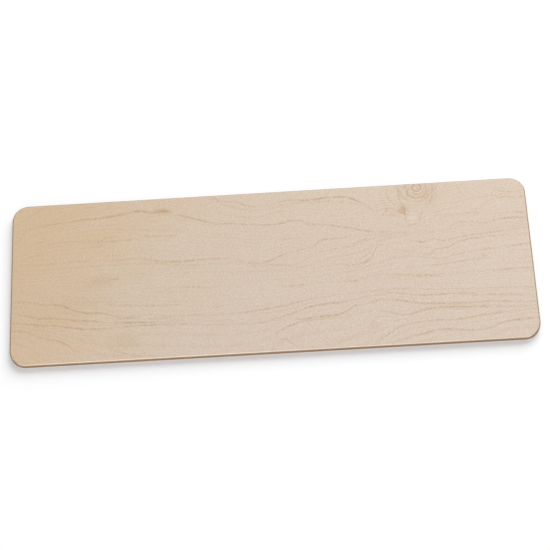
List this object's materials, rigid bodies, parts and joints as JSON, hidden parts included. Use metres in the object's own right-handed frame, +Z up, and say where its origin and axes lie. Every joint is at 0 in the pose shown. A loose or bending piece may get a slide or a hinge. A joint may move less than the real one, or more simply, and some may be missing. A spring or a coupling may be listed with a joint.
{
  "type": "transfer board",
  "caption": "Flat rectangular transfer board with rounded corners and rims, glued up from crossed plies of maple veneer, laid as a bridge between seats so that a person can slide across.",
  "frame": {"origin": "centre of the underside, where the board lies on what it bridges", "axes": "+X along the board's length, +Y across its width, +Z up through the plies to the sliding face"},
  "size_m": [0.6096, 0.2032, 0.009],
  "materials": {
    "maple_face": "satin clear lacquer",
    "long_grain_ply": "sanded and lacquered edge",
    "cross_grain_ply": "sanded and lacquered end grain",
    "resin_glue": "cured dark resin"
  },
  "bodies": {
    "root": {"face_veneer": "maple_face", "back_veneer": "maple_face", "long_ply_upper": "long_grain_ply", "long_ply_lower": "long_grain_ply", "crossband_lower": "cross_grain_ply", "core_ply": "cross_grain_ply", "crossband_upper": "cross_grain_ply", "glue_line_1": "resin_glue", "glue_line_2": "resin_glue", "glue_line_3": "resin_glue", "glue_line_4": "resin_glue", "glue_line_5": "resin_glue", "glue_line_6": "resin_glue"}
  },
  "joints": []
}
